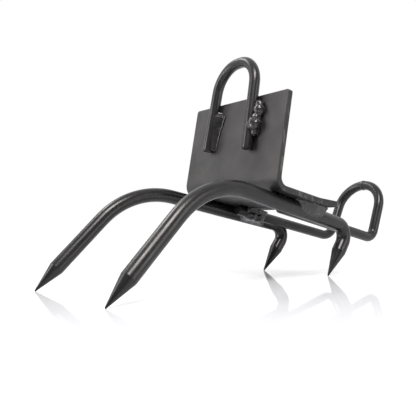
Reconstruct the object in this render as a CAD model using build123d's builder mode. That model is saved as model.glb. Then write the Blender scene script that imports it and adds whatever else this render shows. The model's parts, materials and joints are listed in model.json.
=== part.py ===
from build123d import *
from math import atan2, cos, radians, sin, tan
import os

# Two-claw welded hook: two bent claw rods under a bent plate, a strap loop on the upright
# and a second loop behind the sole.  Millimetres.
#
# Everything is laid out in the plate's own frame, "deck": x runs rearwards along the sole,
# y across it to the far side, z square up from the sole's underside.  The hook stands on
# its four claw tips, which tilts the deck.

# ---- driving dimensions -------------------------------------------------------------------
claw_rod_diameter = 12.7
loop_rod_diameter = 9.5
plate_thickness = 4.75
plate_width = 128.5

# claws: x = 0 is where the long front bend begins
claw_spacing = 107.6
claw_toe_in = 5.5
front_bend_radius = 74.4
front_bend_angle = 57.8
front_straight = 56.8
front_point_length = 24.2
shank_length = 118.4
rear_bend_radius = 11.6
rear_bend_angle = 114.0
rear_straight = 9.0
rear_point_length = 25.3
tip_radius = 0.7

# bent plate
upright_front_x = 19.0
upright_height = 83.8
top_edge_slant = 1.2
upright_lean = 1.6
sole_rear_x = 93.4
inner_bend_radius = 7.0
lip_length = 24.0
lip_angle = 5.5
lip_bend_radius = 60.0
plate_corner_radius = 2.5
plate_edge_radius = 0.6
edge_match = 0.01

# loop welded on the front of the upright
upright_loop_top = 117.8
upright_loop_centre_y = 1.5
upright_loop_crown = 50.8
upright_loop_bend_radius = 24.6
upright_leg_splay = 2.1
far_leg_end_z = 39.0
near_leg_end_z = 35.0
rod_end_rounding = 0.8

# loop behind the sole: two legs under the plate, then up into an arch
rear_loop_centre_y = 4.0
rear_loop_width = 50.0
rear_near_leg_splay = 2.5
rear_far_leg_splay = 1.6
rear_leg_start_x = 60.0
rear_near_corner_x = 194.0
rear_far_corner_x = 188.0
rear_arch_lean = 7.3
rear_arch_top = 54.1
rear_arch_bend_radius = 24.9
rear_near_bend_radius = 10.0
rear_far_bend_radius = 15.0
butt_weld_width = 2.4
butt_weld_height = 0.45
butt_weld_rounding = 0.4

# ---- derived places -----------------------------------------------------------------------
claw_radius = claw_rod_diameter / 2
loop_radius = loop_rod_diameter / 2
NEAR = -1
FAR = 1
SIDES = {"near": NEAR, "far": FAR}


def heading(angle):
    """Unit (x, z) direction at an angle in degrees, counted from rearwards towards up."""
    return cos(radians(angle)), sin(radians(angle))


def corner_setback(bend_radius, turn):
    """Distance from a bend's virtual corner to where its arc starts."""
    return bend_radius * tan(radians(turn / 2))


front_corner_x = -corner_setback(front_bend_radius, front_bend_angle)
rear_corner_x = shank_length + corner_setback(rear_bend_radius, rear_bend_angle)
front_leg_length = corner_setback(front_bend_radius, front_bend_angle) + front_straight
rear_leg_length = corner_setback(rear_bend_radius, rear_bend_angle) + rear_straight
front_heading = heading(180 + front_bend_angle)
rear_heading = heading(-rear_bend_angle)


def claw_profile(from_x, direction, distance):
    """(run, height) of a point on a straight end of the claw's centre line."""
    return from_x + direction[0] * distance, -claw_radius + direction[1] * distance


front_cone_base = claw_profile(front_corner_x, front_heading, front_leg_length)
front_tip = claw_profile(front_corner_x, front_heading, front_leg_length + front_point_length)
rear_cone_base = claw_profile(rear_corner_x, rear_heading, rear_leg_length)
rear_tip = claw_profile(rear_corner_x, rear_heading, rear_leg_length + rear_point_length)

# The deck pitches so that front and rear tips stand on one floor.
toe = radians(claw_toe_in)
stance = atan2(rear_tip[1] - front_tip[1], (rear_tip[0] - front_tip[0]) * cos(toe))


def level_x(x, z):
    """Floor-frame x of a deck point, before the origin is set."""
    return x * cos(stance) + z * sin(stance)


def level_z(x, z):
    """Floor-frame z of a deck point, before the origin is set."""
    return -x * sin(stance) + z * cos(stance)


def arch_x(z):
    """Deck x of the rear arch's plane at height z."""
    return rear_near_corner_x + (z + loop_radius) * tan(radians(rear_arch_lean))


# Origin: on the floor, halfway between the front tips and the back of the rear arch.
front_reach = level_x(front_tip[0] * cos(toe), front_tip[1]) - tip_radius
rear_reach = level_x(arch_x(rear_arch_top), rear_arch_top) + loop_radius + butt_weld_height
origin_x = -(front_reach + rear_reach) / 2
origin_z = tip_radius - level_z(front_tip[0] * cos(toe), front_tip[1])
deck = Plane(
    origin=(origin_x, 0, origin_z),
    x_dir=(cos(stance), 0, -sin(stance)),
    z_dir=(sin(stance), 0, cos(stance)),
)


def at(x, y, z):
    """Floor-frame point of a deck point."""
    return deck.from_local_coords(Vector(x, y, z))


def claw_y(run):
    """Distance of a claw's centre line from the middle, at a run along the shank."""
    return claw_spacing / 2 - run * sin(toe)


def claw_point(side, profile_point):
    """Floor-frame point of a claw, which toes in towards the rear."""
    run, height = profile_point
    return at(run * cos(toe), side * claw_y(run), height)


def upright_point(y, z, out=0.0):
    """Floor-frame point at height z up the upright, a distance out in front of its face."""
    lean = radians(upright_lean)
    return at(upright_front_x - z * sin(lean) - out * cos(lean), y, z * cos(lean) - out * sin(lean))


# ---- helpers ------------------------------------------------------------------------------
def lay_bent_path(corners, bend_radii):
    """Straight runs joined by tangent arcs, one radius for each inner corner."""
    start = corners[0]
    for before, corner, after, bend_radius in zip(corners, corners[1:], corners[2:], bend_radii):
        back = (before - corner).normalized()
        ahead = (after - corner).normalized()
        setback = corner_setback(bend_radius, 180 - back.get_angle(ahead))
        arc_start = corner + back * setback
        arc_end = corner + ahead * setback
        Line(start, arc_start)
        TangentArc(arc_start, arc_end, tangent=back * -1)
        start = arc_end
    Line(start, corners[-1])


def write(part, name):
    """Label a finished piece and write it as its node's STEP."""
    part.label = name
    export_step(part, f"parts/{name}.step")


os.makedirs("parts", exist_ok=True)

# ---- bent plate: upright and sole in one strip ----------------------------------------------
side_plane = Plane(origin=deck.origin, x_dir=deck.x_dir, z_dir=(0, -1, 0))
lean = radians(upright_lean)
lip = radians(lip_angle)
strip_top = upright_height + plate_width * tan(radians(top_edge_slant))


def plate_line(depth):
    """Corners, in (x, z), of the strip's profile at a depth behind its outer face."""
    fold_height = depth * (1 - sin(lean)) / cos(lean)
    fold_x = upright_front_x + depth * cos(lean) - fold_height * sin(lean)
    lip_x = sole_rear_x - lip_length - depth * tan(lip / 2)
    return [
        Vector(
            upright_front_x + depth * cos(lean) - strip_top * sin(lean),
            depth * sin(lean) + strip_top * cos(lean),
        ),
        Vector(fold_x, depth),
        Vector(lip_x, depth),
        Vector(
            sole_rear_x - lip_length + lip_length * cos(lip) - depth * sin(lip),
            lip_length * sin(lip) + depth * cos(lip),
        ),
    ]


outer_corners = plate_line(0)
inner_corners = plate_line(plate_thickness)

# The top edge is cut square to the faces and climbs a little towards the far side.
top_middle = upright_point(0, upright_height)
top_far_rise = tan(radians(top_edge_slant))
top_edge_line = upright_point(1, upright_height + top_far_rise) - top_middle
out_of_face = upright_point(0, upright_height, out=1) - top_middle
top_edge_cut = Plane(origin=top_middle, x_dir=top_edge_line, z_dir=top_edge_line.cross(out_of_face))
with BuildPart() as bent_plate:
    with BuildSketch(side_plane) as strip_profile:
        with BuildLine():
            lay_bent_path(outer_corners, [inner_bend_radius + plate_thickness, lip_bend_radius])
            lay_bent_path(inner_corners, [inner_bend_radius, lip_bend_radius - plate_thickness])
            Line(outer_corners[0], inner_corners[0])
            Line(outer_corners[-1], inner_corners[-1])
        make_face()
    extrude(amount=plate_width / 2, both=True)
    split(bisect_by=top_edge_cut, keep=Keep.BOTTOM)
    corner_edges = bent_plate.edges().filter_by(
        lambda edge: edge.geom_type == GeomType.LINE and abs(edge.length - plate_thickness) < edge_match
    )
    fillet(corner_edges, plate_corner_radius)
    fillet(bent_plate.faces().filter_by(Axis.Y).edges(), plate_edge_radius)

write(bent_plate.part, "bent_plate")

# ---- claws ----------------------------------------------------------------------------------
claws = {}
for side_name, side in SIDES.items():
    centre_corners = [
        claw_point(side, front_cone_base),
        claw_point(side, (front_corner_x, -claw_radius)),
        claw_point(side, (rear_corner_x, -claw_radius)),
        claw_point(side, rear_cone_base),
    ]
    with BuildPart() as claw:
        with BuildLine() as claw_line:
            lay_bent_path(centre_corners, [front_bend_radius, rear_bend_radius])
        with BuildSketch(Plane(origin=claw_line.line @ 0, z_dir=claw_line.line % 0)):
            Circle(claw_radius)
        sweep(path=claw_line.line)
        for cone_base, tip in ((front_cone_base, front_tip), (rear_cone_base, rear_tip)):
            base_point = claw_point(side, cone_base)
            tip_point = claw_point(side, tip)
            point_axis = tip_point - base_point
            with Locations(Plane(origin=base_point, z_dir=point_axis)):
                Cone(
                    claw_radius,
                    tip_radius,
                    point_axis.length,
                    align=(Align.CENTER, Align.CENTER, Align.MIN),
                )
            with Locations(tip_point):
                Sphere(tip_radius)
    claws[side_name] = claw.part
    write(claw.part, f"{side_name}_claw")

# ---- loop on the upright ----------------------------------------------------------------------


def leg_centre_y(side, z):
    """Centre of an upright loop leg at height z up the upright."""
    spread = (upright_loop_top - z) * tan(radians(upright_leg_splay))
    return upright_loop_centre_y + side * (upright_loop_crown / 2 + spread)


def loop_centre(side, z):
    """Floor-frame point on the centre line of an upright loop leg."""
    return upright_point(leg_centre_y(side, z), z, out=loop_radius)


loop_corners = [
    loop_centre(FAR, far_leg_end_z),
    loop_centre(FAR, upright_loop_top),
    loop_centre(NEAR, upright_loop_top),
    loop_centre(NEAR, near_leg_end_z),
]
with BuildPart() as upright_loop:
    with BuildLine() as loop_line:
        lay_bent_path(loop_corners, [upright_loop_bend_radius] * 2)
    with BuildSketch(Plane(origin=loop_line.line @ 0, z_dir=loop_line.line % 0)):
        Circle(loop_radius)
    sweep(path=loop_line.line)
    fillet(upright_loop.faces().filter_by(GeomType.PLANE).edges(), rod_end_rounding)

write(upright_loop.part, "upright_loop")

# ---- rear loop: two bent halves butt-welded at the top of the arch --------------------------------
half_loop = rear_loop_width / 2
rear_halves = {}
heel_x = {NEAR: rear_near_corner_x, FAR: rear_far_corner_x}
heel_radius = {NEAR: rear_near_bend_radius, FAR: rear_far_bend_radius}
rear_leg_splay = {NEAR: rear_near_leg_splay, FAR: rear_far_leg_splay}


def rear_leg_y(side, x):
    """Centre of a rear loop leg at deck x; the legs spread towards the plate."""
    spread = (heel_x[side] - x) * tan(radians(rear_leg_splay[side]))
    return rear_loop_centre_y + side * (half_loop + spread)


for side_name, side in SIDES.items():
    riser_y = rear_leg_y(side, heel_x[side])
    half_corners = [
        at(rear_leg_start_x, rear_leg_y(side, rear_leg_start_x), -loop_radius),
        at(heel_x[side], riser_y, -loop_radius),
        at(arch_x(rear_arch_top), riser_y, rear_arch_top),
        at(arch_x(rear_arch_top), rear_loop_centre_y, rear_arch_top),
    ]
    with BuildPart() as rear_half:
        with BuildLine() as half_line:
            lay_bent_path(half_corners, [heel_radius[side], rear_arch_bend_radius])
        with BuildSketch(Plane(origin=half_line.line @ 0, z_dir=half_line.line % 0)):
            Circle(loop_radius)
        sweep(path=half_line.line)
    rear_halves[side_name] = rear_half.part
    write(rear_half.part, f"rear_loop_{side_name}_half")

# ---- welds ------------------------------------------------------------------------------------
# Each weld is a run of overlapping dabs or a rounded bead, trimmed by the pieces that it joins.
ripple_step = 1.9


def shank_run(x):
    """Run along a claw's shank at deck x."""
    return x / cos(toe)


def lay_dabs(dabs):
    """Overlapping balls of weld metal, given as (point, radius)."""
    for point, dab_radius in dabs:
        with Locations(point):
            Sphere(dab_radius)


def trim(*pieces):
    """Cut the pieces that a weld joins out of its metal."""
    for piece in pieces:
        add(piece, mode=Mode.SUBTRACT)


def seam(first, last, count):
    """Evenly spaced places along a seam."""
    return [first + (last - first) * index / (count - 1) for index in range(count)]


def ripple(index, swell):
    """Change of size from dab to dab, uneven as a hand-laid weld."""
    return swell * sin(ripple_step * index)


# fillets between the claws and the sole
claw_seam_start_x = 60.0
claw_seam_end_x = 82.0
claw_bead_radius = 4.2
claw_bead_out = 0.2
claw_bead_depth = 2.6
broad_bead_radius = 6.2
broad_bead_out = 1.4
broad_bead_depth = 3.6


def lay_bead(ends, radius):
    """A straight bead of weld metal with rounded ends."""
    start, end = ends
    run = end - start
    with Locations(Plane(origin=(start + end) / 2, z_dir=run)):
        Cylinder(radius, run.length)
    with Locations(start, end):
        Sphere(radius)


def claw_bead(side, way, out, depth):
    """Ends of the bead beside a claw's shank; way is 1 on its outer side, -1 on its inner side."""
    for x in (claw_seam_start_x, claw_seam_end_x):
        y = claw_y(shank_run(x)) + way * (claw_radius + out)
        yield at(x, side * y, -depth)


with BuildPart() as near_claw_outer_weld:
    lay_bead(claw_bead(NEAR, 1, broad_bead_out, broad_bead_depth), broad_bead_radius)
    trim(bent_plate.part, claws["near"])
write(near_claw_outer_weld.part, "near_claw_outer_weld")

with BuildPart() as near_claw_inner_weld:
    lay_bead(claw_bead(NEAR, -1, claw_bead_out, claw_bead_depth), claw_bead_radius)
    trim(bent_plate.part, claws["near"])
write(near_claw_inner_weld.part, "near_claw_inner_weld")

with BuildPart() as far_claw_outer_weld:
    lay_bead(claw_bead(FAR, 1, claw_bead_out, claw_bead_depth), claw_bead_radius)
    trim(bent_plate.part, claws["far"])
write(far_claw_outer_weld.part, "far_claw_outer_weld")

# fillets between the rear loop's legs and the sole
leg_seam_start_x = 63.0
leg_seam_end_x = 87.0
leg_bead_radius = 3.4
leg_bead_out = 0.6
leg_bead_depth = 2.4


def leg_bead(side, way):
    """Ends of the bead along one side of a leg; way is -1 towards the middle, 1 away from it."""
    for x in (leg_seam_start_x, leg_seam_end_x):
        y = rear_leg_y(side, x) + side * way * (loop_radius + leg_bead_out)
        yield at(x, y, -leg_bead_depth)


with BuildPart() as near_leg_outer_weld:
    lay_bead(leg_bead(NEAR, 1), leg_bead_radius)
    trim(bent_plate.part, rear_halves["near"])
write(near_leg_outer_weld.part, "near_leg_outer_weld")

with BuildPart() as near_leg_inner_weld:
    lay_bead(leg_bead(NEAR, -1), leg_bead_radius)
    trim(bent_plate.part, rear_halves["near"])
write(near_leg_inner_weld.part, "near_leg_inner_weld")

with BuildPart() as far_leg_inner_weld:
    lay_bead(leg_bead(FAR, -1), leg_bead_radius)
    trim(bent_plate.part, rear_halves["far"])
write(far_leg_inner_weld.part, "far_leg_inner_weld")

# On the far side the leg runs so close to the claw that one weld bridges both to the sole,
# and sags in drips along the claw.
bridge_start_x = 66.0
bridge_end_x = 87.0
bridge_bead_radius = 6.4
bridge_bead_depth = 4.6
drip_start_x = 74.0
drip_end_x = 97.0
drip_bead_radius = 2.9
drip_bead_in = 5.2
drip_bead_depth = 9.4


def bridge_bead():
    """Ends of the bead that fills the gap between the far leg and the far claw."""
    for x in (bridge_start_x, bridge_end_x):
        claw_side_y = claw_y(shank_run(x)) - claw_radius
        gap_middle_y = (rear_leg_y(FAR, x) + loop_radius + claw_side_y) / 2
        yield at(x, gap_middle_y, -bridge_bead_depth)


def drip_bead():
    """Ends of the bead of drips along the inner side of the far claw."""
    for x in (drip_start_x, drip_end_x):
        yield at(x, claw_y(shank_run(x)) - drip_bead_in, -drip_bead_depth)


with BuildPart() as far_bridge_weld:
    lay_bead(bridge_bead(), bridge_bead_radius)
    lay_bead(drip_bead(), drip_bead_radius)
    trim(bent_plate.part, rear_halves["far"], claws["far"], far_leg_inner_weld.part)
write(far_bridge_weld.part, "far_bridge_weld")

# welds between the upright loop's legs and the upright, on the near side of each leg
far_weld_seam = seam(44.0, 72.0, 8)
far_weld_radius = 4.9
far_weld_beside = 0.2
far_weld_out = 3.3
far_weld_ripple = 0.3
near_weld_seam = seam(50.0, 71.0, 5)
near_weld_radius = 5.5
near_weld_beside = 2.4
near_weld_out = 2.9
near_weld_sway = 1.5
near_weld_ripple = 0.7


def far_weld_dabs():
    """One straight run of even dabs beside the far leg."""
    for index, z in enumerate(far_weld_seam):
        y = leg_centre_y(FAR, z) - loop_radius - far_weld_beside
        yield upright_point(y, z, out=far_weld_out), far_weld_radius + ripple(index, far_weld_ripple)


def near_weld_dabs():
    """A lumpy, swaying run of dabs beside the near leg."""
    for index, z in enumerate(near_weld_seam):
        y = leg_centre_y(NEAR, z) - loop_radius - near_weld_beside - ripple(index, near_weld_sway)
        yield upright_point(y, z, out=near_weld_out), near_weld_radius + ripple(index, near_weld_ripple)


with BuildPart() as upright_far_weld:
    lay_dabs(far_weld_dabs())
    trim(bent_plate.part, upright_loop.part)
write(upright_far_weld.part, "upright_loop_far_weld")

with BuildPart() as upright_near_weld:
    lay_dabs(near_weld_dabs())
    trim(bent_plate.part, upright_loop.part)
write(upright_near_weld.part, "upright_loop_near_weld")

# butt weld that closes the rear arch
arch_top = at(arch_x(rear_arch_top), rear_loop_centre_y, rear_arch_top)
with BuildPart() as butt_weld:
    with Locations(Plane(origin=arch_top, z_dir=(0, 1, 0))):
        Cylinder(loop_radius + butt_weld_height, butt_weld_width)
    fillet(butt_weld.edges(), butt_weld_rounding)
    trim(rear_halves["near"], rear_halves["far"])
write(butt_weld.part, "rear_loop_butt_weld")
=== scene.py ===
import json
import math

import bmesh
import bpy
import numpy as np
from mathutils import Matrix, Vector, noise


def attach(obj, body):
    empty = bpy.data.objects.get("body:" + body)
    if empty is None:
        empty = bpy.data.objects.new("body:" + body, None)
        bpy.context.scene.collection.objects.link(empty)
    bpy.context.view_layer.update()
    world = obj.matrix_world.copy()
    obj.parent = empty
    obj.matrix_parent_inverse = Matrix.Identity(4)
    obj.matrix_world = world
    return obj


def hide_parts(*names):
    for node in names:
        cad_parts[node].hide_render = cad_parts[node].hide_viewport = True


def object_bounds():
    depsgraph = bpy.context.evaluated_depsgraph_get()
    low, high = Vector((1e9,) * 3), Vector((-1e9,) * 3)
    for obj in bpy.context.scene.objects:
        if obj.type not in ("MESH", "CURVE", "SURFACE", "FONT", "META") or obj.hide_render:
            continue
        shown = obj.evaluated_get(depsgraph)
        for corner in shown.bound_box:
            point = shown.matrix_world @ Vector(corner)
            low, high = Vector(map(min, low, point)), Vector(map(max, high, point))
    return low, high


# Looks of a two-claw welded hook: black paint over steel rod, plate and hand-laid weld metal.
# The weld metal is placed in the plate's own frame, the deck: x rearwards along the sole, y
# across it to the far side, z square up from the sole's underside, in millimetres.

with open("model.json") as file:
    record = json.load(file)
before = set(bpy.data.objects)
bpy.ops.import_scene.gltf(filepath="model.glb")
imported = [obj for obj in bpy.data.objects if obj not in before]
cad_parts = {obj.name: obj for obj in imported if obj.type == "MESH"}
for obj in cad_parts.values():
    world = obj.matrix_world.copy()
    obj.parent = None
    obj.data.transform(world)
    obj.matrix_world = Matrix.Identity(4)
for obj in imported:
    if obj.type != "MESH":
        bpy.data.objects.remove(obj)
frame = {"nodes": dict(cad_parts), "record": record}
cad_low, cad_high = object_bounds()
nodes = frame["nodes"]
record = frame["record"]
MM = 0.001

# ---- deck frame ---------------------------------------------------------------------------
PLATE_THICKNESS = 4.75
SOLE_MOUNT_X = 50.0
UPRIGHT_FACE_X = 19.0
UPRIGHT_LEAN = math.radians(1.6)
NEAR = -1
FAR = 1

sole_mount = next(mount for mount in record["mounts"] if mount["name"] == "sole_top")
deck_up = Vector(sole_mount["axis"]).normalized()
deck_back = Vector((deck_up.z, 0, -deck_up.x))
deck_across = Vector((0, 1, 0))
deck_origin = Vector(sole_mount["pos_m"]) - deck_back * SOLE_MOUNT_X * MM - deck_up * PLATE_THICKNESS * MM


def deck(x, y, z):
    """Row-frame point of a deck point."""
    return deck_origin + (deck_back * x + deck_across * y + deck_up * z) * MM


def upright(y, z, out):
    """Row-frame point at height z up the upright, a distance out in front of its face."""
    x = UPRIGHT_FACE_X - z * math.sin(UPRIGHT_LEAN) - out * math.cos(UPRIGHT_LEAN)
    return deck(x, y, z * math.cos(UPRIGHT_LEAN) - out * math.sin(UPRIGHT_LEAN))


# directions up the upright's face and square out of it, each from one point to another
upright_up = (upright(0, 60, 0) - upright(0, 40, 0)).normalized()
upright_out = (upright(0, 60, 1) - upright(0, 60, 0)).normalized()

# ---- rods ---------------------------------------------------------------------------------
CLAW_RADIUS = 6.35
CLAW_HALF_SPACING = 53.8
CLAW_TOE = math.radians(5.5)
LOOP_RADIUS = 4.75
REAR_LOOP_Y = 4.0
REAR_LOOP_HALF_WIDTH = 25.0
HEEL_X = {NEAR: 194.0, FAR: 188.0}
REAR_LEG_SPLAY = {NEAR: math.radians(2.5), FAR: math.radians(1.6)}
UPRIGHT_LOOP_TOP = 117.8
UPRIGHT_LOOP_Y = 1.5
UPRIGHT_LOOP_HALF_CROWN = 25.4
UPRIGHT_LEG_SPLAY = math.radians(2.1)


def claw_y(side, x):
    """Deck y of a claw's centre line at deck x; the claws toe in towards the rear."""
    return side * (CLAW_HALF_SPACING - x * math.tan(CLAW_TOE))


def rear_leg_y(side, x):
    """Deck y of a rear leg's centre line at deck x; the legs spread towards the plate."""
    return REAR_LOOP_Y + side * (REAR_LOOP_HALF_WIDTH + (HEEL_X[side] - x) * math.tan(REAR_LEG_SPLAY[side]))


def upright_leg_y(side, z):
    """Deck y of an upright loop leg's centre line at height z; the legs spread downwards."""
    spread = (UPRIGHT_LOOP_TOP - z) * math.tan(UPRIGHT_LEG_SPLAY)
    return UPRIGHT_LOOP_Y + side * (UPRIGHT_LOOP_HALF_CROWN + spread)


# ---- shader helpers -----------------------------------------------------------------------
# A Mix node's sockets share their names, so they are picked by number.
MIX_FACTOR = 0
MIX_VALUES = (2, 3)
MIX_VALUE_RESULT = 0
MIX_COLOURS = (6, 7)
MIX_COLOUR_RESULT = 2


def new_material(name):
    """A node material, its tree and its Principled shader."""
    material = bpy.data.materials.new(name)
    material.use_nodes = True
    shader = material.node_tree.nodes["Principled BSDF"]
    return material, material.node_tree, shader


def noise_texture(tree, scale, detail=4.0, stretch=(1, 1, 1)):
    """Noise over the surface, scale in lumps per metre."""
    place = tree.nodes.new("ShaderNodeTexCoord").outputs["Object"]
    mapping = tree.nodes.new("ShaderNodeMapping")
    mapping.inputs["Scale"].default_value = stretch
    tree.links.new(place, mapping.inputs["Vector"])
    texture = tree.nodes.new("ShaderNodeTexNoise")
    texture.inputs["Scale"].default_value = scale
    texture.inputs["Detail"].default_value = detail
    tree.links.new(mapping.outputs["Vector"], texture.inputs["Vector"])
    return texture.outputs["Fac"]


def to_range(tree, value, from_low, from_high, low, high):
    """A value stretched from one range to another."""
    ramp = tree.nodes.new("ShaderNodeMapRange")
    ramp.inputs["From Min"].default_value = from_low
    ramp.inputs["From Max"].default_value = from_high
    ramp.inputs["To Min"].default_value = low
    ramp.inputs["To Max"].default_value = high
    tree.links.new(value, ramp.inputs["Value"])
    return ramp.outputs["Result"]


def blend_colours(tree, factor, first, second):
    """One colour, or colour socket, fading into another by a factor."""
    mix = tree.nodes.new("ShaderNodeMix")
    mix.data_type = "RGBA"
    for number, colour in zip(MIX_COLOURS, (first, second)):
        if isinstance(colour, tuple):
            mix.inputs[number].default_value = (*colour, 1)
        else:
            tree.links.new(colour, mix.inputs[number])
    tree.links.new(factor, mix.inputs[MIX_FACTOR])
    return mix.outputs[MIX_COLOUR_RESULT]


def bump(tree, height, distance):
    """Bump from a height, its distance in metres."""
    node = tree.nodes.new("ShaderNodeBump")
    node.inputs["Distance"].default_value = distance
    tree.links.new(height, node.inputs["Height"])
    return node.outputs["Normal"]


# ---- paints -------------------------------------------------------------------------------
# Noise scales are in lumps per metre. Most of a noise's values lie within NOISE_SPREAD.
NOISE_SPREAD = (0.35, 0.65)
MOTTLE_SCALE = 45.0
GLOSS_SCALE = 60.0
CHIP_SCALE = 420.0
CHIP_EDGE = 0.03
CHIP_COLOUR = (0.16, 0.155, 0.15)

# a face turns into an edge as its normal points more and more straight across
EDGE_FADE = (0.6, 0.9)
EDGE_COLOUR = (0.008, 0.008, 0.0085)
SCUFF_COLOUR = (0.085, 0.083, 0.08)
SCUFF_SCALE = 260.0
SCUFF_STRETCH = (1, 1, 0.35)
SCUFF_SPREAD = (0.52, 0.72)

# dark and light are the two colours of the mottle, roughness is the range of the gloss, the
# waves' height is in millimetres, and chips is how high the noise is where the paint is off
PAINTS = {
    "rod_paint": {
        "dark": (0.007, 0.007, 0.0077),
        "light": (0.013, 0.013, 0.0138),
        "roughness": (0.27, 0.34),
        "specular": 0.34,
        "wave_scale": 90.0,
        "wave_height": 0.06,
        "chips": 0.77,
    },
    "plate_paint": {
        "dark": (0.012, 0.012, 0.0125),
        "light": (0.027, 0.0265, 0.0265),
        "roughness": (0.33, 0.43),
        "specular": 0.4,
        "wave_scale": 120.0,
        "wave_height": 0.1,
        "chips": 0.78,
    },
    "weld_paint": {
        "dark": (0.012, 0.0122, 0.013),
        "light": (0.026, 0.0265, 0.028),
        "roughness": (0.16, 0.28),
        "specular": 0.45,
        "wave_scale": 260.0,
        "wave_height": 0.15,
        "chips": 0.76,
    },
}


def black_paint(name, dark, light, roughness, specular, wave_scale, wave_height, chips):
    """Black paint on steel: faintly mottled, uneven in gloss, with soft waves and pinhead chips."""
    material, tree, shader = new_material(name)
    mottle = to_range(tree, noise_texture(tree, MOTTLE_SCALE), *NOISE_SPREAD, 0, 1)
    paint = blend_colours(tree, mottle, dark, light)
    chipped = to_range(tree, noise_texture(tree, CHIP_SCALE, detail=3.0), chips, chips + CHIP_EDGE, 0, 1)
    tree.links.new(blend_colours(tree, chipped, paint, CHIP_COLOUR), shader.inputs["Base Color"])
    patches = noise_texture(tree, GLOSS_SCALE, detail=3.0)
    tree.links.new(to_range(tree, patches, *NOISE_SPREAD, *roughness), shader.inputs["Roughness"])
    shader.inputs["Specular IOR Level"].default_value = specular
    waves = bump(tree, noise_texture(tree, wave_scale, detail=2.0), wave_height * MM)
    tree.links.new(waves, shader.inputs["Normal"])
    return material


def sheared_edges(material):
    """Rough, scuffed paint on the faces that look straight across: the plate's sheared edges."""
    tree = material.node_tree
    shader = tree.nodes["Principled BSDF"]
    normal = tree.nodes.new("ShaderNodeTexCoord").outputs["Normal"]
    parts = tree.nodes.new("ShaderNodeSeparateXYZ")
    tree.links.new(normal, parts.inputs["Vector"])
    size = tree.nodes.new("ShaderNodeMath")
    size.operation = "ABSOLUTE"
    tree.links.new(parts.outputs["Y"], size.inputs[0])
    edge = to_range(tree, size.outputs["Value"], *EDGE_FADE, 0, 1)
    face_colour = shader.inputs["Base Color"].links[0].from_socket
    grain = noise_texture(tree, SCUFF_SCALE, detail=5.0, stretch=SCUFF_STRETCH)
    scuffs = to_range(tree, grain, *SCUFF_SPREAD, 0, 1)
    edge_colour = blend_colours(tree, scuffs, EDGE_COLOUR, SCUFF_COLOUR)
    tree.links.new(blend_colours(tree, edge, face_colour, edge_colour), shader.inputs["Base Color"])


MATERIALS = {name: black_paint(name, **look) for name, look in PAINTS.items()}
sheared_edges(MATERIALS["plate_paint"])
for row in record["subparts"]:
    piece = nodes[row["node"]]
    slot_name = row["material_slot"]
    piece.data.materials.clear()
    piece.data.materials.append(MATERIALS[slot_name])

# ---- weld metal ---------------------------------------------------------------------------
# There are two kinds: runs of dabs melted together, and flat-faced fillets lofted along a rod.
# Sizes are in millimetres. A surface says how far apart and how high the ripples across a run
# are, and how high and how wide the lumps all over are.
PLAIN_SURFACE = {"pitch": 2.6, "ripple": 0.35, "lumps": 0.3, "lump_size": 2.2}

# dabs, and the fineness and softness of the melted metal
DAB_SWELL = 0.07
DAB_TURN = 1.9
VOXEL = 0.42
SETTLE = 0.6

# ripples bow away from the middle of the run and wander along it; lumps use noise from elsewhere
RIPPLE_BOW = 0.35
RIPPLE_WANDER = 0.9
WANDER_SIZE = 3.0
MEAN_CREST = 0.64
LUMP_SHIFT = Vector((7, 3, 5))

# fillets: how finely they are lofted, how deep the ends of the face sink into the rod and the
# plate, where on the face the rim is, and the core behind the face
FILLET_STATIONS = 110
FILLET_FACE_POINTS = 36
LEAST_HALF_WIDTH = 0.5
ROD_SINK = 0.4
PLATE_SINK = 0.3
RIM_PLACE = 0.07
RIM_WIDTH = 0.05
CORE_OUT = 1.0
CORE_OUT_SHARE = 0.5
CORE_DROP_SHARE = 0.7


def steps(first, last, count):
    """Evenly spaced values."""
    return [first + (last - first) * index / (count - 1) for index in range(count)]


def interpolate(t, knots):
    """Value at t of a smooth curve through (t, value) knots."""
    for (t0, v0), (t1, v1) in zip(knots, knots[1:]):
        if t <= t1:
            u = (t - t0) / (t1 - t0)
            return v0 + (v1 - v0) * u * u * (3 - 2 * u)
    return knots[-1][1]


def add_object(name, data):
    """An object with its data, in the scene."""
    added = bpy.data.objects.new(name, data)
    bpy.context.scene.collection.objects.link(added)
    return added


def melt(name, dabs, along, smoothing):
    """One closed lump from overlapping dabs, each a place and three radii, the first along the run."""
    side = along.cross(deck_across).normalized()
    turn = Matrix((along, side.cross(along), side)).transposed().to_4x4()
    lump = bmesh.new()
    for place, radii in dabs:
        shape = Matrix.Diagonal((radii[0] * MM, radii[1] * MM, radii[2] * MM, 1))
        placed = Matrix.Translation(place) @ turn @ shape
        bmesh.ops.create_icosphere(lump, subdivisions=3, radius=1, matrix=placed)
    mesh = bpy.data.meshes.new(name)
    lump.to_mesh(mesh)
    lump.free()
    piece = add_object(name, mesh)
    fuse = piece.modifiers.new("fuse", "REMESH")
    fuse.mode = "VOXEL"
    fuse.voxel_size = VOXEL * MM
    settle = piece.modifiers.new("settle", "SMOOTH")
    settle.factor = SETTLE
    settle.iterations = smoothing
    bpy.context.view_layer.update()
    fused = bpy.data.meshes.new_from_object(piece.evaluated_get(bpy.context.evaluated_depsgraph_get()))
    piece.modifiers.clear()
    piece.data = fused
    return piece


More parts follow.
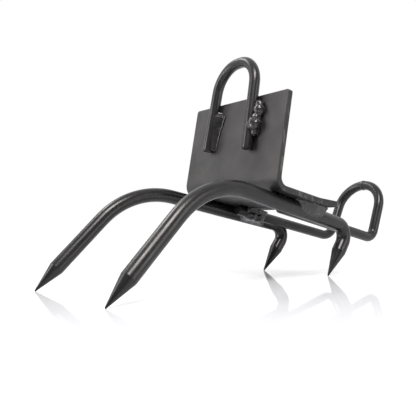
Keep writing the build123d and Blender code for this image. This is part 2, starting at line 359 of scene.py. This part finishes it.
def roughen(piece, along, pitch, ripple, lumps, lump_size):
    """Freeze ripples across the run and lumps all over into the metal."""
    mesh = piece.data
    count = len(mesh.vertices)
    places = np.empty(count * 3)
    normals = np.empty(count * 3)
    mesh.vertices.foreach_get("co", places)
    mesh.vertex_normals.foreach_get("vector", normals)
    places = places.reshape(-1, 3)
    normals = normals.reshape(-1, 3)
    centre = places.mean(0)
    run = (places - centre) @ np.array(along)
    off = np.linalg.norm((places - centre) - np.outer(run, np.array(along)), axis=1)
    wander = np.array([noise.noise(Vector(p) / (WANDER_SIZE * MM)) for p in places])
    lumpy = np.array([noise.noise(Vector(p) / (lump_size * MM) + LUMP_SHIFT) for p in places])
    crests = np.abs(np.sin(np.pi * (run + RIPPLE_BOW * off) / (pitch * MM) + RIPPLE_WANDER * wander))
    rise = (crests - MEAN_CREST) * ripple * MM + lumpy * lumps * MM
    places += normals * rise[:, None]
    mesh.vertices.foreach_set("co", places.ravel())
    mesh.update()
    mesh.polygons.foreach_set("use_smooth", [True] * len(mesh.polygons))


def finish_weld(piece, node_names):
    """Paint a weld and let it stand for CAD nodes."""
    piece.data.materials.append(MATERIALS["weld_paint"])
    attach(piece, "root")
    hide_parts(*node_names)


def weld(name, node_names, dabs, along, smoothing=6, surface=PLAIN_SURFACE):
    """A finished weld of melted dabs that stands for CAD nodes."""
    piece = melt(name, dabs, along, smoothing)
    roughen(piece, along, **surface)
    finish_weld(piece, node_names)


def bead_dabs(first_x, last_x, count, centre, radii):
    """Dabs of a bead along the deck, no two quite alike; centre(x) gives deck y and z."""
    dabs = []
    for index, x in enumerate(steps(first_x, last_x, count)):
        y, z = centre(x)
        uneven = [radius + DAB_SWELL * radius * math.sin(DAB_TURN * index) for radius in radii]
        dabs.append((deck(x, y, z), uneven))
    return dabs


def fillet_outline(reach, drop, rod_radius, bulge, rim):
    """Outline across a fillet, as (out, down) points: its face from plate to rod, then its core.

    The metal reaches out along the plate and drops down the rod. The bulge swells the middle
    of the face, and the rim its edge on the plate.
    """
    half_width = math.sqrt(max(rod_radius**2 - (drop - rod_radius) ** 2, LEAST_HALF_WIDTH**2))
    rod_end = half_width - ROD_SINK
    outline = []
    for u in steps(0.0, 1.0, FILLET_FACE_POINTS):
        swell = bulge * 4 * u * (1 - u) + rim * math.exp(-(((u - RIM_PLACE) / RIM_WIDTH) ** 2))
        out = reach + (rod_end - reach) * u + swell
        down = -PLATE_SINK + (drop + PLATE_SINK) * u + swell
        outline.append((out, down))
    core_out = min(CORE_OUT, rod_end * CORE_OUT_SHARE)
    outline.append((core_out, drop * CORE_DROP_SHARE))
    outline.append((core_out, -PLATE_SINK))
    return outline


def loft(name, rings):
    """A closed mesh through rings of points, each with the same number of points."""
    size = len(rings[0])
    points = [point for ring in rings for point in ring]
    faces = [tuple(range(size)), tuple(reversed(range(len(points) - size, len(points))))]
    for first in range(0, len(points) - size, size):
        for k in range(size):
            n = (k + 1) % size
            faces.append((first + k, first + size + k, first + size + n, first + n))
    mesh = bpy.data.meshes.new(name)
    mesh.from_pydata(points, [], faces)
    shell = bmesh.new()
    shell.from_mesh(mesh)
    bmesh.ops.recalc_face_normals(shell, faces=shell.faces)
    shell.to_mesh(mesh)
    shell.free()
    return mesh


def fillet(name, node_names, foot, ends, out, down, along, rod_radius, reach, drop, bulge, rim, surface):
    """A finished flat-faced fillet beside a rod that lies on a plate.

    foot(place) is on the line where the rod touches the plate, and ends are the first and last
    place. out lies along the plate and down away from it. reach and drop are (t, size) knots,
    t from 0 to 1 along the fillet.
    """
    rings = []
    for t in steps(0.0, 1.0, FILLET_STATIONS):
        start = foot(ends[0] + (ends[1] - ends[0]) * t)
        outline = fillet_outline(interpolate(t, reach), interpolate(t, drop), rod_radius, bulge, rim)
        rings.append([start + (out * a + down * b) * MM for a, b in outline])
    piece = add_object(name, loft(name, rings))
    roughen(piece, along, **surface)
    finish_weld(piece, node_names)


# ---- welds of the claws -------------------------------------------------------------------
OUTSIDE = 1
BETWEEN = -1
CLAW_BEAD_BESIDE = 0.4
CLAW_BEAD_DEPTH = 2.6


def claw_bead(side, way):
    """Dabs beside a claw, outside the two claws or between them."""
    beside = side * way * (CLAW_RADIUS + CLAW_BEAD_BESIDE)
    return bead_dabs(
        first_x=58,
        last_x=85,
        count=12,
        centre=lambda x: (claw_y(side, x) + beside, -CLAW_BEAD_DEPTH),
        radii=(3.4, 3.8, 3.8),
    )


# the one in full view is broad and almost flat
fillet(
    "weld_near_claw_outside",
    ["near_claw_outer_weld"],
    foot=lambda x: deck(x, claw_y(NEAR, x), 0),
    ends=(51.0, 89.0),
    out=-deck_across,
    down=-deck_up,
    along=deck_back,
    rod_radius=CLAW_RADIUS,
    reach=[(0.0, 5.6), (0.2, 10.4), (0.6, 13.4), (0.93, 12.6), (1.0, 9.0)],
    drop=[(0.0, 0.6), (0.36, 9.0), (0.66, 10.8), (0.93, 8.8), (1.0, 5.0)],
    bulge=0.5,
    rim=0.35,
    surface={"pitch": 2.6, "ripple": 0.1, "lumps": 0.3, "lump_size": 4.2},
)
weld("weld_near_claw_inside", ["near_claw_inner_weld"], claw_bead(NEAR, BETWEEN), deck_back)
weld("weld_far_claw_outside", ["far_claw_outer_weld"], claw_bead(FAR, OUTSIDE), deck_back)

# ---- welds of the rear loop ---------------------------------------------------------------
LEG_BEAD_BESIDE = 0.9
LEG_BEAD_DEPTH = 2.2


def near_leg_bead(way):
    """Dabs beside the near rear leg, outside the two legs or between them."""
    beside = NEAR * way * (LOOP_RADIUS + LEG_BEAD_BESIDE)
    return bead_dabs(
        first_x=62,
        last_x=88,
        count=11,
        centre=lambda x: (rear_leg_y(NEAR, x) + beside, -LEG_BEAD_DEPTH),
        radii=(3.0, 3.2, 3.4),
    )


weld("weld_near_leg_outside", ["near_leg_outer_weld"], near_leg_bead(OUTSIDE), deck_back)
weld("weld_near_leg_inside", ["near_leg_inner_weld"], near_leg_bead(BETWEEN), deck_back)
fillet(
    "weld_far_leg_inside",
    ["far_leg_inner_weld"],
    foot=lambda x: deck(x, rear_leg_y(FAR, x), 0),
    ends=(69.0, 93.0),
    out=-deck_across,
    down=-deck_up,
    along=deck_back,
    rod_radius=LOOP_RADIUS,
    reach=[(0.0, 5.4), (0.15, 7.6), (0.5, 8.2), (0.85, 7.2), (1.0, 5.2)],
    drop=[(0.0, 5.0), (0.15, 8.8), (0.6, 9.3), (0.85, 8.6), (1.0, 4.0)],
    bulge=0.5,
    rim=0.0,
    surface={"pitch": 4.2, "ripple": 0.06, "lumps": 0.45, "lump_size": 4.0},
)

# ---- weld that bridges the far leg and the far claw ---------------------------------------
# One mass fills the gap, laps under the leg and hangs in a ridge along the claw's inner side.
GAP_DEPTH = 5.2
LAP_DEPTH = 6.6
RIDGE_DEPTH = 10.0
RIDGE_INWARD = 4.8


def gap_middle(x):
    """Deck y and z in the middle of the gap."""
    return (rear_leg_y(FAR, x) + LOOP_RADIUS + claw_y(FAR, x) - CLAW_RADIUS) / 2, -GAP_DEPTH


def under_leg(x):
    """Deck y and z in the lower part of the leg."""
    return rear_leg_y(FAR, x), -LAP_DEPTH


def beside_claw(x):
    """Deck y and z low on the claw's inner side."""
    return claw_y(FAR, x) - RIDGE_INWARD, -RIDGE_DEPTH


bridge = bead_dabs(first_x=75, last_x=94, count=8, centre=gap_middle, radii=(6.4, 6.0, 6.2))
bridge += bead_dabs(first_x=74, last_x=88, count=6, centre=under_leg, radii=(5.4, 6.2, 4.6))
bridge += bead_dabs(first_x=76, last_x=99, count=9, centre=beside_claw, radii=(3.2, 2.2, 2.4))
weld(
    "weld_far_bridge",
    ["far_bridge_weld"],
    bridge,
    deck_back,
    smoothing=14,
    surface={"pitch": 4.2, "ripple": 0.08, "lumps": 0.35, "lump_size": 3.8},
)

# ---- welds of the upright loop ------------------------------------------------------------
# a slab with a rolled rim, beside the far leg
fillet(
    "weld_loop_far_leg",
    ["upright_loop_far_weld"],
    foot=lambda z: upright(upright_leg_y(FAR, z), z, 0),
    ends=(40.0, 76.0),
    out=-deck_across,
    down=upright_out,
    along=upright_up,
    rod_radius=LOOP_RADIUS,
    reach=[(0.0, 6.8), (0.18, 7.6), (0.42, 8.6), (0.5, 8.9), (0.66, 11.0), (0.86, 12.2), (1.0, 7.5)],
    drop=[(0.0, 6.0), (0.12, 7.8), (0.85, 7.6), (1.0, 4.0)],
    bulge=0.2,
    rim=0.6,
    surface={"pitch": 3.4, "ripple": 0.04, "lumps": 0.16, "lump_size": 3.2},
)

# lumps beside the near leg: height up the upright, distance beside the leg, distance out, radii
LUMPS = [
    (73.5, 7.4, 2.6, (3.6, 4.2, 4.0)),
    (68.5, 8.4, 3.0, (5.4, 5.4, 5.0)),
    (62.0, 6.0, 3.0, (4.8, 4.8, 4.4)),
    (56.0, 6.0, 4.6, (6.6, 7.0, 6.0)),
    (50.0, 5.4, 2.8, (4.2, 4.4, 4.0)),
]
lumpy_run = [(upright(upright_leg_y(NEAR, z) - beside, z, out), radii) for z, beside, out, radii in LUMPS]
weld(
    "weld_loop_near_leg",
    ["upright_loop_near_weld"],
    lumpy_run,
    upright_up,
    surface={"pitch": 4.8, "ripple": 0.25, "lumps": 0.55, "lump_size": 3.4},
)

# ---- studio -------------------------------------------------------------------------------
# Lengths and places are in metres, powers in watts.
FLOOR_HALF = 6.0
FLOOR_COLOUR = (0.70, 0.72, 0.745, 1)
FLOOR_ROUGHNESS = 0.05
FLOOR_SPECULAR = 0.5
LIGHT_COLOUR = (1.0, 0.94, 0.92)
DIM_DIRECTION = (-0.58, -0.80, 0.12)
DIM_FADE = (-0.2, 0.75)
BRIGHT_STRENGTH = 1.15
DIM_STRENGTH = 0.12


def build_floor():
    """A white glossy tabletop, far wider than the view."""
    mesh = bpy.data.meshes.new("studio_floor")
    h = FLOOR_HALF
    mesh.from_pydata([(-h, -h, 0), (h, -h, 0), (h, h, 0), (-h, h, 0)], [], [(0, 1, 2, 3)])
    floor = add_object("studio_floor", mesh)
    material, _, shader = new_material("floor_white")
    shader.inputs["Base Color"].default_value = FLOOR_COLOUR
    shader.inputs["Roughness"].default_value = FLOOR_ROUGHNESS
    shader.inputs["Specular IOR Level"].default_value = FLOOR_SPECULAR
    mesh.materials.append(material)


def build_world():
    """A white room; its light on the object is dim from the side that the photo is taken from."""
    world = bpy.data.worlds.new("studio")
    bpy.context.scene.world = world
    world.use_nodes = True
    tree = world.node_tree
    background = tree.nodes["Background"]
    background.inputs["Color"].default_value = (1, 1, 1, 1)
    place = tree.nodes.new("ShaderNodeTexCoord").outputs["Generated"]
    facing = tree.nodes.new("ShaderNodeVectorMath")
    facing.operation = "DOT_PRODUCT"
    facing.inputs[1].default_value = DIM_DIRECTION
    tree.links.new(place, facing.inputs[0])
    light = to_range(tree, facing.outputs["Value"], *DIM_FADE, BRIGHT_STRENGTH, DIM_STRENGTH)
    seen = tree.nodes.new("ShaderNodeLightPath").outputs["Is Camera Ray"]
    pick = tree.nodes.new("ShaderNodeMix")
    tree.links.new(seen, pick.inputs[MIX_FACTOR])
    tree.links.new(light, pick.inputs[MIX_VALUES[0]])
    pick.inputs[MIX_VALUES[1]].default_value = 1.0
    tree.links.new(pick.outputs[MIX_VALUE_RESULT], background.inputs["Strength"])


def soft_box(name, place, target, width, height, power):
    """A rectangular soft box that looks at a target."""
    data = bpy.data.lights.new(name, "AREA")
    data.shape = "RECTANGLE"
    data.size = width
    data.size_y = height
    data.energy = power
    data.color = LIGHT_COLOUR
    light = add_object(name, data)
    light.location = place
    light.rotation_mode = "QUATERNION"
    light.rotation_quaternion = (Vector(target) - Vector(place)).to_track_quat("-Z", "Y")


build_floor()
build_world()
middle = (cad_low + cad_high) / 2
soft_box("front_strip", (-1.15, 0.55, 0.4), middle, width=0.3, height=1.0, power=11)
soft_box("side_box", (0.55, -1.25, 0.3), middle, width=0.35, height=0.9, power=6)
soft_box("rear_box", (-0.4, 0.9, 1.3), middle, width=0.5, height=0.4, power=7)
soft_box("overhead", (-0.4, -0.65, 1.1), middle, width=0.5, height=0.4, power=20)

# ---- camera -------------------------------------------------------------------------------
CAMERA_PLACE = (-0.3310, -0.3967, 0.0558)
VIEW_FORWARD = Vector((0.5876, 0.809, 0.0154)).normalized()
VIEW_ROLL = math.radians(-1.79)
SENSOR_WIDTH = 36.0
LENS = 49.88
CLIP_START = 0.01

camera_data = bpy.data.cameras.new("camera")
camera_data.sensor_width = SENSOR_WIDTH
camera_data.lens = LENS
camera_data.clip_start = CLIP_START
camera = add_object("camera", camera_data)
camera.location = CAMERA_PLACE
camera.rotation_mode = "QUATERNION"
roll = Matrix.Rotation(VIEW_ROLL, 4, "Z").to_quaternion()
camera.rotation_quaternion = VIEW_FORWARD.to_track_quat("-Z", "Y") @ roll
bpy.context.scene.camera = camera
bpy.context.scene.view_settings.view_transform = "Standard"
